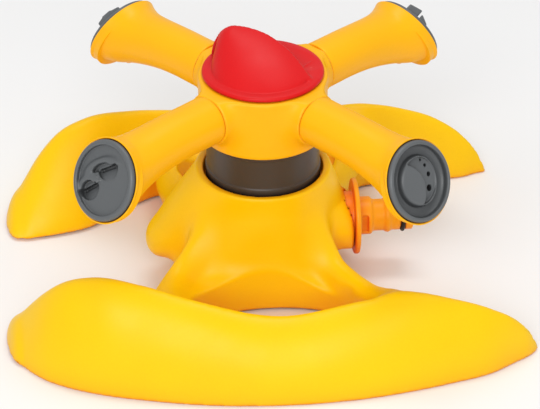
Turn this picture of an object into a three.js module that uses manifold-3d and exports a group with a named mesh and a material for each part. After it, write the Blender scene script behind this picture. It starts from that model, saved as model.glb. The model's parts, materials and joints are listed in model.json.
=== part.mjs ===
// A rotary garden sprinkler with four arms on a two-winged sled base.
// Millimetres, +Z up. The origin is on the ground under the rotor's axis.
// +X points to the hose inlet, and the two wings lie towards -Y (front) and +Y (back).
import * as THREE from "three";
import { mergeVertices } from "three/addons/utils/BufferGeometryUtils.js";
import Module from "manifold-3d";

// ---- Driving dimensions ----

const WALL = 2.6; // thickness of the moulded base
const GAP = 0.3; // between two pieces that touch
const ROUND = 28; // sides of a large round piece
const TUBE_ROUND = 18; // sides of a tube or a ring
const SMALL_ROUND = 12; // sides of a small bore
const CAP_ROUND = 24; // sides of a nozzle cap

const RIM_Z = 60; // top edge of the tower
const RIM_RADIUS = 31;
const POCKET_RADIUS = 29; // pocket in the tower's top, which holds the collar
const DECK_TOP = 53; // deck across the tower, under the collar
const DECK_BOTTOM = 50;

const COLLAR_RADIUS = 27.8;
const COLLAR_TOP = 80;
const HUB_BOTTOM = 80.6;
const HUB_TOP = 111;
const HUB_RADIUS = 30.8;
const KNOB_RADIUS = 29;
const CHAMBER_RADIUS = 13; // water chamber in the hub
const CHAMBER_FLOOR = 88;
const CHAMBER_ROOF = 105.5;
const SPINDLE_RADIUS = 8; // fixed tube that the rotor turns on
const SPINDLE_BORE = 5.5;
const SPINDLE_TOP = 91;
const SEAL_GROOVE_LOW = 83; // groove in the hub's bore for the lip seal on the spindle
const SEAL_GROOVE_TOP = 85.6;
const SEAL_GROOVE_RADIUS = 10.8;

const ARM_TURN = 39.7; // degrees from +X to the back right arm
const ARM_RADIUS = 11.8;
const ARM_CHANNEL = 5;
const SOCKET_END = 35.7; // from the rotor's axis to the end of a hub socket
const ARM_Z = 99.8; // height of an arm's axis at its socket
const NOZZLE_REACH = 100.6; // from the rotor's axis to the centre of a nozzle's face
const NOZZLE_Z = 95;
const NOZZLE_TILT = 25; // degrees that a nozzle looks up
const CUP_RADIUS = 20; // rim at the end of an arm
const CAP_RADIUS = 18.75;
const CAP_THICKNESS = 5;
const SPIGOT_RADIUS = 9; // stub behind a nozzle's face
const SPIGOT_LENGTH = 8;
const NOZZLE_SEAL = 1.2; // thickness of the ring behind the spigot

const INLET_Z = 28; // height of the hose inlet's axis
const FLANGE_X = 44; // inner face of the inlet's flange
const FLANGE_RADIUS = 19;
const FLANGE_THICKNESS = 2.5;
const INLET_SLEEVE = 12.4; // radius of the inlet's stretch through the tower's side
const NIPPLE_END = 73.5;
const INLET_BORE = 4.8;

// ---- Materials ----

const plastic = (color, roughness = 0.4) =>
  new THREE.MeshStandardMaterial({ color, roughness, metalness: 0 });
const metal = (color) => new THREE.MeshStandardMaterial({ color, roughness: 0.35, metalness: 1 });

const BASE_YELLOW = plastic(0xfbc60f);
const ROTOR_YELLOW = plastic(0xfbb71a);
const INLET_ORANGE = plastic(0xf59a1e);
const KNOB_RED = plastic(0xe42326);
const NOZZLE_GREY = plastic(0x5c5e60, 0.55);
const COLLAR_BROWN = plastic(0x4a4038, 0.45);
const INNER_GREY = plastic(0x8a8c8e, 0.5);
const INNER_WHITE = plastic(0xe8e6df, 0.5);
const RUBBER = plastic(0x181818, 0.8);
const STEEL = metal(0xb9bcc0);

// ---- Solids: closed geometries, and joining and cutting them ----

const wasm = await Module();
wasm.setup();

function solidOf(geometry) {
  const bare = geometry.index ? geometry.toNonIndexed() : geometry;
  const points = new THREE.BufferGeometry();
  points.setAttribute("position", bare.getAttribute("position"));
  const merged = mergeVertices(points, 1e-3);
  return new wasm.Manifold(
    new wasm.Mesh({
      numProp: 3,
      vertProperties: merged.attributes.position.array,
      triVerts: new Uint32Array(merged.index.array),
    }),
  );
}

function geometryOf(solid) {
  const mesh = solid.getMesh();
  const geometry = new THREE.BufferGeometry();
  geometry.setAttribute("position", new THREE.BufferAttribute(mesh.vertProperties, mesh.numProp));
  geometry.setIndex(new THREE.BufferAttribute(mesh.triVerts, 1));
  geometry.computeVertexNormals();
  return geometry;
}

const join = (...geometries) =>
  geometryOf(geometries.map(solidOf).reduce((whole, next) => whole.add(next)));

const cut = (geometry, ...tools) =>
  geometryOf(tools.map(solidOf).reduce((left, tool) => left.subtract(tool), solidOf(geometry)));

// A closed body through rings with the same number of points, capped at both ends.
function loft(rings) {
  const count = rings[0].length;
  const points = rings.flat();
  const faces = [];
  for (let row = 0; row < rings.length - 1; row++) {
    for (let i = 0; i < count; i++) {
      const near = row * count + i;
      const side = row * count + ((i + 1) % count);
      faces.push(near, side, side + count, near, side + count, near + count);
    }
  }
  const middleOf = (ring) =>
    ring.reduce((sum, p) => sum.clone().add(p), new THREE.Vector3()).divideScalar(count);
  const last = points.length - count;
  points.push(middleOf(rings[0]), middleOf(rings.at(-1)));
  for (let i = 0; i < count; i++) {
    const next = (i + 1) % count;
    faces.push(next, i, points.length - 2, last + i, last + next, points.length - 1);
  }
  const geometry = new THREE.BufferGeometry().setFromPoints(points);
  geometry.setIndex(faces);
  geometry.computeVertexNormals();
  return geometry;
}

// A body of revolution about Z through [radius, z] points, listed upwards along the outside.
function turned(profile, sides = ROUND) {
  const outline = profile.map(([radius, z]) => new THREE.Vector2(radius, z));
  return new THREE.LatheGeometry(outline, sides).rotateX(Math.PI / 2);
}

const disc = (radius, low, high, sides = ROUND) =>
  turned([[0, low], [radius, low], [radius, high], [0, high]], sides);

const ringOf = (inner, outer, low, high, sides = ROUND) =>
  turned([[inner, low], [outer, low], [outer, high], [inner, high], [inner, low]], sides);

const box = (low, high) =>
  new THREE.BoxGeometry(high[0] - low[0], high[1] - low[1], high[2] - low[2]).translate(
    (low[0] + high[0]) / 2,
    (low[1] + high[1]) / 2,
    (low[2] + high[2]) / 2,
  );

// Turns a shape made about +Z so that +Z points along +X, at a height.
const alongX = (geometry, z) => geometry.rotateY(Math.PI / 2).translate(0, 0, z);

const radians = THREE.MathUtils.degToRad;

function node(name, geometry, material) {
  const mesh = new THREE.Mesh(geometry, material);
  mesh.name = name;
  return mesh;
}

// ---- Base ----

// Each wing's stations: x, then the distance from the middle plane of its inner edge, its outer edge
// and its ridge, and the height of its ridge.
const WING_STATIONS = [
  [-127, 45, 55, 50, 2],
  [-124, 37, 67, 53, 9],
  [-118, 33, 76, 57, 21],
  [-110, 34, 85, 62, 33],
  [-100, 36, 92, 67, 43],
  [-85, 41, 99, 72, 48.5],
  [-62, 60, 106, 79, 47],
  [-40, 73, 111, 85.5, 43],
  [0, 73, 115, 91, 35.5],
  [40, 72, 113, 88, 39.5],
  [62, 70, 109, 86, 40.5],
  [80, 71, 104.5, 87, 36.5],
  [100, 73, 98, 86.5, 28.6],
  [112, 75, 90.5, 84, 20],
  [119, 78, 86, 82, 11.5],
  [124, 79, 81, 80, 1.5],
];
const WING_FULLNESS = 1.55; // 1 is a ridge with flat sides, 2 is an ellipse
const WING_SIDES = 11;

// One cross-section of a wing, drawn inwards by inset, on the side -1 (front) or 1 (back).
function wingSection([x, inner, outer, ridge, height], side, inset, low) {
  const points = [];
  for (let step = 0; step <= WING_SIDES; step++) {
    const angle = (Math.PI * step) / WING_SIDES;
    const reach = Math.cos(angle) < 0 ? ridge - inner : outer - ridge;
    const across = Math.abs(Math.cos(angle)) ** (2 / WING_FULLNESS) * Math.sign(Math.cos(angle));
    const up = Math.sin(angle) ** (2 / WING_FULLNESS);
    const y = ridge + across * Math.max(reach - inset, 0.5);
    points.push(new THREE.Vector3(x, side * y, low + up * (height - inset)));
  }
  if (side < 0) points.reverse();
  return points;
}

function wing(side, inset = 0) {
  const inside = WING_STATIONS.filter((station) => station[4] > 3 * inset);
  const rings = inside.map((station) => wingSection(station, side, inset, 0));
  if (!inset) return loft(rings);
  const foot = rings.map((ring) => [
    ...ring,
    ring.at(-1).clone().setZ(-WALL),
    ring[0].clone().setZ(-WALL),
  ]);
  return loft(foot);
}

// The tower's rings: z, its half widths along X and Y, and how far its middle lies along X.
const TOWER_RINGS = [
  [9, 38, 40.5, -3],
  [20, 38, 38.5, -3],
  [32, 37, 36.5, -2],
  [44, 34.5, 34, -1],
  [52, 32.5, 32.2, 0],
  [RIM_Z, RIM_RADIUS, RIM_RADIUS, 0],
];

// The same for the two hoods that bulge from the tower towards -X and +X.
const HOOD_RINGS = [
  [9, 41, 20, -6],
  [11.5, 47.5, 23, -6.5],
  [14, 49.8, 25, -6.3],
  [20, 51, 27, -6],
  [32, 48.3, 28, -5.3],
  [44, 44.8, 29, -4.3],
  [51, 40.3, 30, -2.7],
  [56, 35.5, 30.4, -1.5],
  [RIM_Z - 1, RIM_RADIUS, RIM_RADIUS - 0.3, 0],
];

const TOWER_SIDES = 32;

function oval(stations, inset = 0) {
  const kept = stations.filter(([z]) => z < DECK_TOP || !inset);
  const rings = kept.map(([z, across, along, middle]) => {
    const points = [];
    for (let step = 0; step < TOWER_SIDES; step++) {
      const angle = (2 * Math.PI * step) / TOWER_SIDES;
      const x = middle + (across - inset) * Math.cos(angle);
      points.push(new THREE.Vector3(x, (along - inset) * Math.sin(angle), z));
    }
    return points;
  });
  if (inset) {
    rings[0].forEach((point) => point.setZ(-WALL));
    rings.at(-1).forEach((point) => point.setZ(DECK_BOTTOM));
  }
  return loft(rings);
}

// The body between the wings, which the two holes leave as four legs.
// Its stations: y, its left and right edges along X, and its height.
const BODY_STATIONS = [
  [0, -43, 33, 22],
  [16, -44.5, 36.5, 20],
  [30, -48, 40.5, 19],
  [42, -53, 45, 19.5],
  [54, -53, 51, 23],
  [66, -50, 58, 28],
  [80, -46, 65, 35],
];
const BODY_EDGE = 5; // rounding along its two long edges

function body(inset = 0) {
  const mirrored = BODY_STATIONS.slice(1).map(([y, ...rest]) => [-y, ...rest]);
  const stations = [...mirrored.reverse(), ...BODY_STATIONS];
  const rings = stations.map(([y, left, right, height]) => {
    const [low, top] = [inset ? -WALL : 0, height - inset];
    const [west, east] = [left + inset, right - inset];
    return [
      [west, low],
      [east, low],
      [east, top - BODY_EDGE],
      [east - BODY_EDGE, top],
      [west + BODY_EDGE, top],
      [west, top - BODY_EDGE],
    ].map(([x, z]) => new THREE.Vector3(x, y, z));
  });
  return loft(rings.map((ring) => ring.reverse()));
}

// An upright oval post at the place of the hole between the tower and one wing.
const HOLE = { middle: 57, across: 39, along: 19 };

function holePost(side, grow) {
  const post = disc(1, -2 * WALL, RIM_Z, ROUND);
  post.scale(HOLE.across + grow, HOLE.along + grow, 1);
  return post.translate(0, side * HOLE.middle, 0);
}

function baseShell() {
  const sides = [-1, 1];
  const outside = cut(
    join(oval(TOWER_RINGS), oval(HOOD_RINGS), body(), ...sides.map((side) => wing(side))),
    ...sides.map((side) => holePost(side, 0)),
  );
  const hollow = cut(
    join(
      oval(TOWER_RINGS, WALL),
      oval(HOOD_RINGS, WALL),
      body(WALL),
      ...sides.map((side) => wing(side, WALL)),
    ),
    ...sides.map((side) => holePost(side, WALL)),
  );
  return cut(
    outside,
    hollow,
    disc(POCKET_RADIUS, DECK_TOP, RIM_Z + 1),
    disc(SPINDLE_RADIUS + GAP, DECK_BOTTOM - 1, DECK_TOP + 1, SMALL_ROUND),
    alongX(disc(INLET_SLEEVE + 0.6, POCKET_RADIUS - 4, NIPPLE_END, TUBE_ROUND), INLET_Z),
    alongX(disc(FLANGE_RADIUS + 1, FLANGE_X - GAP, NIPPLE_END, TUBE_ROUND), INLET_Z),
    ...atCollarScrews(SCREW_HOLE, DECK_BOTTOM - 1, DECK_TOP + 1),
  );
}

// ---- Bearing collar, spindle and what turns against them ----

const COLLAR_SCREWS = 3;
const COLLAR_SCREW_CIRCLE = 18;
const COLLAR_RIM = 2.5; // thickness of the collar's wall
const COLLAR_FLOOR = DECK_TOP + GAP;
const COLLAR_FLOOR_TOP = COLLAR_FLOOR + 6;
const BOSS_RADIUS = SPINDLE_RADIUS + GAP + 4; // boss round the spindle, which carries the rotor
const BOSS_TOP = COLLAR_TOP - 2;
const SCREW_SHANK = 1.4;
const SCREW_HEAD = 3.2;
const SCREW_PILOT = SCREW_SHANK + GAP;
const SCREW_HOLE = 2; // clearance hole in the deck

function collarScrewPlaces() {
  return Array.from({ length: COLLAR_SCREWS }, (_, index) => {
    const angle = radians(90 + (360 / COLLAR_SCREWS) * index);
    return [COLLAR_SCREW_CIRCLE * Math.cos(angle), COLLAR_SCREW_CIRCLE * Math.sin(angle)];
  });
}

const atCollarScrews = (radius, low, high) =>
  collarScrewPlaces().map(([x, y]) => disc(radius, low, high, SMALL_ROUND).translate(x, y, 0));

// The cup that stands in the tower's pocket and carries the rotor on its inner boss.
function bearingCollar() {
  const bore = SPINDLE_RADIUS + GAP;
  const profile = [
    [bore, COLLAR_FLOOR],
    [COLLAR_RADIUS, COLLAR_FLOOR],
    [COLLAR_RADIUS, COLLAR_TOP - 1],
    [COLLAR_RADIUS - 1, COLLAR_TOP],
    [COLLAR_RADIUS - COLLAR_RIM, COLLAR_TOP],
    [COLLAR_RADIUS - COLLAR_RIM, COLLAR_FLOOR_TOP],
    [BOSS_RADIUS, COLLAR_FLOOR_TOP],
    [BOSS_RADIUS, BOSS_TOP],
    [bore, BOSS_TOP],
    [bore, COLLAR_FLOOR],
  ];
  return cut(turned(profile), ...atCollarScrews(SCREW_PILOT, COLLAR_FLOOR - 1, COLLAR_FLOOR_TOP - 1));
}

// A pan-head screw from below, with its head under the deck and its shank up in the collar.
function collarScrew([x, y]) {
  const head = DECK_BOTTOM - GAP;
  const tip = COLLAR_FLOOR_TOP - 1.3;
  const profile = [
    [0, head - 2],
    [SCREW_HEAD - 0.6, head - 2],
    [SCREW_HEAD, head - 1],
    [SCREW_HEAD, head],
    [SCREW_SHANK, head],
    [SCREW_SHANK, tip - 0.5],
    [0, tip],
  ];
  return turned(profile, SMALL_ROUND).translate(x, y, 0);
}

const ELBOW_LOW = 15.5;
const ELBOW_TOP = 34; // floor of the seat that the spindle stands in
const ELBOW_SEAT = 8; // depth of that seat
const ELBOW_RADIUS = 10;
const ELBOW_FACE = FLANGE_X - 14; // where the inlet enters the elbow
const ELBOW_SOCKET = 7.3; // radius of the socket that takes the inlet's sleeve

// The block that turns the water up from the inlet into the spindle.
function waterElbow() {
  const shell = join(
    disc(SPINDLE_RADIUS + 4, ELBOW_LOW, ELBOW_TOP + ELBOW_SEAT, TUBE_ROUND),
    alongX(disc(ELBOW_RADIUS, 0, ELBOW_FACE, TUBE_ROUND), INLET_Z),
  );
  return cut(
    shell,
    disc(SPINDLE_RADIUS + GAP, ELBOW_TOP, ELBOW_TOP + ELBOW_SEAT + 1, SMALL_ROUND),
    disc(SPINDLE_BORE, INLET_Z, ELBOW_TOP + 1, SMALL_ROUND),
    alongX(disc(SPINDLE_BORE, 0, ELBOW_FACE + 1, SMALL_ROUND), INLET_Z),
    alongX(disc(ELBOW_SOCKET, ELBOW_FACE - 8, ELBOW_FACE + 1, SMALL_ROUND), INLET_Z),
  );
}

const spindle = () =>
  ringOf(SPINDLE_BORE, SPINDLE_RADIUS, ELBOW_TOP + GAP, SPINDLE_TOP, TUBE_ROUND);

const RETAINER_LOW = CHAMBER_FLOOR + GAP;
const RETAINER_TOP = RETAINER_LOW + 2;

const rotorRetainer = () =>
  ringOf(SPINDLE_RADIUS + GAP, SPINDLE_RADIUS + 3, RETAINER_LOW, RETAINER_TOP, TUBE_ROUND);

const spindleSeal = () => {
  const [low, top] = [SEAL_GROOVE_LOW + GAP, SEAL_GROOVE_TOP - GAP];
  return ringOf(SPINDLE_RADIUS + GAP, SEAL_GROOVE_RADIUS - GAP, low, top, TUBE_ROUND);
};

const thrustWasher = () =>
  ringOf(SPINDLE_RADIUS + GAP, BOSS_RADIUS - GAP, BOSS_TOP + GAP, HUB_BOTTOM - GAP, TUBE_ROUND);

// ---- Hose inlet ----

const SLEEVE_RADIUS = ELBOW_SOCKET - GAP; // the inlet's end inside the elbow
const COLLAR_STEP = 9.3; // radius of the nipple's stout part beside the flange
const NECK_RADIUS = 7.8;
const RIDGE_RADIUS = 8.7; // ridge that a hose connector's claws hold
const RIDGE_X = FLANGE_X + 17;
const GROOVE_X = FLANGE_X + 23; // groove for the o-ring
const GROOVE_WIDTH = 2.8;
const GROOVE_RADIUS = 6.2;

// The plate that closes the tower's side, and the nipple that a hose connector clicks on to.
function hoseInlet() {
  const profile = [
    [INLET_BORE, ELBOW_FACE - 6],
    [SLEEVE_RADIUS, ELBOW_FACE - 6],
    [SLEEVE_RADIUS, ELBOW_FACE + 1.5],
    [INLET_SLEEVE, ELBOW_FACE + 1.5],
    [INLET_SLEEVE, FLANGE_X],
    [FLANGE_RADIUS, FLANGE_X],
    [FLANGE_RADIUS, FLANGE_X + FLANGE_THICKNESS],
    [COLLAR_STEP, FLANGE_X + FLANGE_THICKNESS],
    [COLLAR_STEP, FLANGE_X + 9],
    [NECK_RADIUS, FLANGE_X + 10],
    [NECK_RADIUS, RIDGE_X - 2],
    [RIDGE_RADIUS, RIDGE_X - 0.6],
    [RIDGE_RADIUS, RIDGE_X + 0.6],
    [NECK_RADIUS, RIDGE_X + 1.4],
    [NECK_RADIUS, GROOVE_X],
    [GROOVE_RADIUS, GROOVE_X],
    [GROOVE_RADIUS, GROOVE_X + GROOVE_WIDTH],
    [NECK_RADIUS, GROOVE_X + GROOVE_WIDTH],
    [NECK_RADIUS, NIPPLE_END - 2.5],
    [NECK_RADIUS - 1.2, NIPPLE_END],
    [INLET_BORE, NIPPLE_END],
    [INLET_BORE, ELBOW_FACE - 6],
  ];
  const shape = alongX(turned(profile, TUBE_ROUND), INLET_Z);
  const windows = [-1, 1].map((side) =>
    box(
      [FLANGE_X + 4, side * COLLAR_STEP - 2, INLET_Z - 4],
      [FLANGE_X + 7, side * COLLAR_STEP + 2, INLET_Z + 4],
    ),
  );
  return cut(shape, ...windows);
}

// An o-ring of round section in the nipple's groove.
function inletSeal() {
  const section = GROOVE_WIDTH / 2 - GAP;
  const middle = GROOVE_RADIUS + GAP + section;
  const profile = [];
  for (let step = 0; step <= 6; step++) {
    const angle = (2 * Math.PI * step) / 6;
    const along = GROOVE_X + GROOVE_WIDTH / 2 - section * Math.sin(angle);
    profile.push([middle - section * Math.cos(angle), along]);
  }
  return alongX(turned(profile, TUBE_ROUND), INLET_Z);
}

const elbowSeal = () => {
  const [low, high] = [ELBOW_FACE - 7.6, ELBOW_FACE - 6 - GAP];
  return alongX(ringOf(INLET_BORE + 1, SLEEVE_RADIUS, low, high, TUBE_ROUND), INLET_Z);
};

// A thimble of screen inside the nipple's mouth.
const inletFilter = () => {
  const [sheet, taper] = [0.8, 1];
  const [rim, mouth, tip] = [INLET_BORE - GAP, NIPPLE_END - 1, NIPPLE_END - 16];
  const profile = [
    [0, tip],
    [rim - taper, tip],
    [rim, mouth],
    [rim - sheet, mouth],
    [rim - sheet - taper, tip + sheet],
    [0, tip + sheet],
  ];
  return alongX(turned(profile, SMALL_ROUND), INLET_Z);
};

// ---- Rotor ----

const ARMS = [
  { name: "back_right", turn: ARM_TURN },
  { name: "back_left", turn: ARM_TURN + 90 },
  { name: "front_left", turn: ARM_TURN + 180 },
  { name: "front_right", turn: ARM_TURN + 270 },
];

const turnedTo = (geometry, degrees) => geometry.rotateZ(radians(degrees));

const HUB_FOOT = 3; // height of the space under the hub, above the collar's rim
const STUB_RADIUS = ARM_RADIUS + 0.5; // collar on the hub that an arm is plugged into
const PLUG_RADIUS = 8;
const PLUG_LENGTH = 8.5;
const STEM_RADIUS = 4;
const STEM_SEAT = 6.4; // radius of the pocket for the o-ring under the hub's roof
const STEM_SEAT_HEIGHT = 2.4;

function rotorHub() {
  const bore = SPINDLE_RADIUS + GAP;
  const stemBore = STEM_RADIUS + 0.4;
  const profile = [
    [bore, HUB_BOTTOM],
    [bore + 4.7, HUB_BOTTOM],
    [bore + 4.7, HUB_BOTTOM + HUB_FOOT],
    [HUB_RADIUS - 4, HUB_BOTTOM + HUB_FOOT],
    [HUB_RADIUS - 4, HUB_BOTTOM],
    [HUB_RADIUS - 1.8, HUB_BOTTOM],
    [HUB_RADIUS, HUB_BOTTOM + 5],
    [HUB_RADIUS, HUB_TOP - 4],
    [HUB_RADIUS - 1.2, HUB_TOP],
    [stemBore, HUB_TOP],
    [stemBore, CHAMBER_ROOF + STEM_SEAT_HEIGHT],
    [STEM_SEAT, CHAMBER_ROOF + STEM_SEAT_HEIGHT],
    [STEM_SEAT, CHAMBER_ROOF],
    [CHAMBER_RADIUS, CHAMBER_ROOF],
    [CHAMBER_RADIUS, CHAMBER_FLOOR],
    [bore, CHAMBER_FLOOR],
    [bore, SEAL_GROOVE_TOP],
    [SEAL_GROOVE_RADIUS, SEAL_GROOVE_TOP],
    [SEAL_GROOVE_RADIUS, SEAL_GROOVE_LOW],
    [bore, SEAL_GROOVE_LOW],
    [bore, HUB_BOTTOM],
  ];
  const outwards = (radius, from, to, sides) =>
    ARMS.map(({ turn }) => turnedTo(alongX(disc(radius, from, to, sides), ARM_Z), turn));
  const stubs = cut(
    join(...outwards(STUB_RADIUS, CHAMBER_RADIUS + 6, SOCKET_END, TUBE_ROUND)),
    disc(KNOB_RADIUS + 0.5, HUB_TOP, HUB_TOP + 4),
    disc(HUB_RADIUS - 3, HUB_BOTTOM, HUB_TOP),
  );
  return cut(
    join(stubs, turned(profile)),
    ...outwards(PLUG_RADIUS + GAP, SOCKET_END - PLUG_LENGTH - 1.5, SOCKET_END + 1, SMALL_ROUND),
    ...outwards(ARM_CHANNEL, CHAMBER_RADIUS - 1, SOCKET_END, SMALL_ROUND),
  );
}

// A circle across an arm: its middle's distance from the rotor's axis and height, its radius,
// and how far it leans back.
function armRing([reach, z, radius, lean]) {
  const points = [];
  for (let step = 0; step < TUBE_ROUND; step++) {
    const angle = (2 * Math.PI * step) / TUBE_ROUND;
    const up = radius * Math.sin(angle);
    const x = reach - up * Math.sin(radians(lean));
    points.push(new THREE.Vector3(x, radius * Math.cos(angle), z + up * Math.cos(radians(lean))));
  }
  return points;
}

const ARM_RINGS = [
  [SOCKET_END + GAP, ARM_Z, ARM_RADIUS, 0],
  [54, 99.8, ARM_RADIUS, 0],
  [66, 99.2, ARM_RADIUS + 0.2, 2],
  [76, 98, ARM_RADIUS + 0.9, 6],
  [84, 96.7, ARM_RADIUS + 2.2, 11],
  [90.5, 95.5, ARM_RADIUS + 4.2, 16],
  [95.5, 94.7, ARM_RADIUS + 6.6, 21],
  [98.8, 94.3, CUP_RADIUS, NOZZLE_TILT],
  [NOZZLE_REACH - 0.6, NOZZLE_Z - 0.3, CUP_RADIUS, NOZZLE_TILT],
];

// Places a shape made about +Z, with z = 0 at a nozzle's face, at the end of the +X arm.
const atNozzle = (geometry) =>
  geometry
    .rotateY(Math.PI / 2 - radians(NOZZLE_TILT))
    .translate(NOZZLE_REACH, 0, NOZZLE_Z);

function arm(turn) {
  const from = new THREE.Vector3(SOCKET_END - PLUG_LENGTH - 0.5, 0, ARM_Z);
  const back = CAP_THICKNESS + SPIGOT_LENGTH;
  const to = new THREE.Vector3(
    NOZZLE_REACH - back * Math.cos(radians(NOZZLE_TILT)),
    0,
    NOZZLE_Z - back * Math.sin(radians(NOZZLE_TILT)),
  );
  const way = new THREE.Vector3().subVectors(to, from);
  const channel = disc(ARM_CHANNEL - 1, -1, way.length() + 1, SMALL_ROUND)
    .rotateY(Math.atan2(way.x, way.z))
    .translate(from.x, 0, from.z);
  const plug = alongX(disc(PLUG_RADIUS, SOCKET_END - PLUG_LENGTH, SOCKET_END + 2, SMALL_ROUND), ARM_Z);
  const shape = cut(
    join(loft(ARM_RINGS.map(armRing)), plug),
    atNozzle(disc(CAP_RADIUS + GAP, -CAP_THICKNESS, 2)),
    atNozzle(disc(SPIGOT_RADIUS + GAP, -back - NOZZLE_SEAL - GAP, 0, TUBE_ROUND)),
    channel,
  );
  return turnedTo(shape, turn);
}

// ---- Nozzles ----

// The cap's plain body: a dished face with a bevelled rim, and a hollow spigot behind it.
const SPIGOT_WALL = 2.5;
const CAP_FACE = -0.9; // height of the dished face at its middle
const SLOT_WIDTH = 1;
const SLOT_LENGTH = 6;

function capBody() {
  const back = GAP - CAP_THICKNESS;
  const inside = back + SPIGOT_WALL;
  return turned([
    [0, inside],
    [SPIGOT_RADIUS - SPIGOT_WALL, inside],
    [SPIGOT_RADIUS - SPIGOT_WALL, back - SPIGOT_LENGTH],
    [SPIGOT_RADIUS, back - SPIGOT_LENGTH],
    [SPIGOT_RADIUS, back],
    [CAP_RADIUS, back],
    [CAP_RADIUS, -1],
    [CAP_RADIUS - 1, 0.6],
    [CAP_RADIUS - 3, 0.4],
    [CAP_RADIUS - 8, CAP_FACE + 0.2],
    [0, CAP_FACE],
  ], CAP_ROUND);
}

// Through slots and holes run from the face into the hollow spigot.
function slot([x, y], lean) {
  const half = [SLOT_LENGTH / 2, SLOT_WIDTH / 2, CAP_THICKNESS - 1];
  const blade = box(half.map((size) => -size), half);
  return blade.rotateZ(radians(lean)).translate(x, y, 0);
}

const hole = ([x, y], radius) =>
  disc(radius, 1 - CAP_THICKNESS, 1 + CAP_THICKNESS, SMALL_ROUND).translate(x, y, 0);

// Two fans: a slanted slot in each of two raised half-rounds.
function fanCap() {
  const places = [[-1.5, 3.6], [4, -3]];
  const bosses = places.map(([x, y]) => disc(4.2, -2, 0.4, TUBE_ROUND).translate(x, y, 0));
  return cut(join(capBody(), ...bosses), ...places.map((place) => slot(place, 20)));
}

// Four jets: a raised drum with holes that grow along a row.
function jetCap() {
  const drum = disc(SPIGOT_RADIUS, -2, 1.6, TUBE_ROUND);
  const jets = [-5, -1.8, 1.6, 5].map((along, index) => hole([along, 3.2], 0.6 + 0.14 * index));
  return cut(join(capBody(), drum), ...jets);
}

// A stepped spray: three low steps, each with a slot in it.
function stepCap() {
  const places = [-5, 0, 5];
  const steps = places.map((along, index) =>
    box([along - 2, -5, -2], [along + 2, 5, 1 + 0.7 * index]),
  );
  return cut(join(capBody(), ...steps), ...places.map((along) => slot([along, 0], 90)));
}

// A ridge across the cap at a distance along x, narrower at its top.
function wedge(along, width, height) {
  const [foot, crest] = [2.5, 1.2];
  const outline = new THREE.Shape();
  outline.moveTo(-foot, -2);
  outline.lineTo(foot, -2);
  outline.lineTo(crest, height);
  outline.lineTo(-crest, height);
  const block = new THREE.ExtrudeGeometry(outline, { depth: width, bevelEnabled: false });
  return block.rotateX(Math.PI / 2).translate(along, width / 2, 0);
}

// Two deflectors: a large and a small wedge, with two jets between them.
function wedgeCap() {
  const wedges = [wedge(-5, 9, 4), wedge(4, 7, 2.4)];
  return cut(join(capBody(), ...wedges), hole([-0.9, 0], 1.1), hole([1, 3], 0.8));
}

const CAPS = { back_right: wedgeCap, back_left: stepCap, front_left: fanCap, front_right: jetCap };

function nozzleSeal() {
  const back = CAP_THICKNESS + SPIGOT_LENGTH;
  const [inner, outer] = [SPIGOT_RADIUS - SPIGOT_WALL - 0.5, SPIGOT_RADIUS - 0.4];
  return ringOf(inner, outer, -back - NOZZLE_SEAL, -back, TUBE_ROUND);
}

// ---- Selector ----

const KNOB_LOW = HUB_TOP + GAP;
const KNOB_EDGE = KNOB_LOW + 2;
const GRIP_HEIGHT = 17;
const GRIP_WIDTH = 12;
const GRIP_TURN = -35; // degrees that the grip's line is turned from +X
const STEM_SOCKET = 3; // how far the stem reaches into the knob

// A low dome with a grip across it that is steep at one end and runs out at the other.
function selectorKnob() {
  const dome = turned([
    [0, KNOB_LOW],
    [KNOB_RADIUS - 0.6, KNOB_LOW],
    [KNOB_RADIUS, KNOB_LOW + 1],
    [KNOB_RADIUS - 0.5, KNOB_EDGE],
    [KNOB_RADIUS - 9, KNOB_EDGE + 2],
    [0, KNOB_EDGE + 2.5],
  ]);
  const outline = new THREE.Shape();
  outline.moveTo(3 - KNOB_RADIUS, 0);
  outline.quadraticCurveTo(4 - KNOB_RADIUS, GRIP_HEIGHT, -12, GRIP_HEIGHT);
  outline.quadraticCurveTo(8, GRIP_HEIGHT, KNOB_RADIUS - 3, 0);
  const settings = { depth: GRIP_WIDTH, bevelEnabled: false, curveSegments: 10 };
  const grip = new THREE.ExtrudeGeometry(outline, settings).rotateX(Math.PI / 2);
  grip.translate(0, GRIP_WIDTH / 2, KNOB_EDGE).rotateZ(radians(GRIP_TURN));
  const socket = disc(STEM_RADIUS + GAP, KNOB_LOW - 1, KNOB_LOW + STEM_SOCKET + 0.5, SMALL_ROUND);
  return cut(join(dome, grip), socket);
}

const VALVE_TOP = CHAMBER_ROOF - 2;

const selectorStem = () =>
  disc(STEM_RADIUS, VALVE_TOP + GAP, KNOB_LOW + STEM_SOCKET, SMALL_ROUND);

const stemSeal = () => {
  const top = CHAMBER_ROOF + STEM_SEAT_HEIGHT;
  return ringOf(STEM_RADIUS + GAP, STEM_SEAT - GAP, CHAMBER_ROOF + 0.2, top - GAP, TUBE_ROUND);
};

// A cup turned mouth down in the hub's chamber, whose window lets water into one arm.
function selectorValve() {
  const low = RETAINER_TOP + GAP;
  const outer = CHAMBER_RADIUS - GAP;
  const inner = outer - 1.7;
  const profile = [
    [inner, low],
    [outer, low],
    [outer, VALVE_TOP],
    [0, VALVE_TOP],
    [0, VALVE_TOP - 2],
    [inner, VALVE_TOP - 2],
    [inner, low],
  ];
  const window = alongX(disc(3, 5, CHAMBER_RADIUS + 2, SMALL_ROUND), ARM_Z - 2);
  return cut(turned(profile), turnedTo(window, ARM_TURN + 180));
}

// ---- The sprinkler ----

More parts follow.
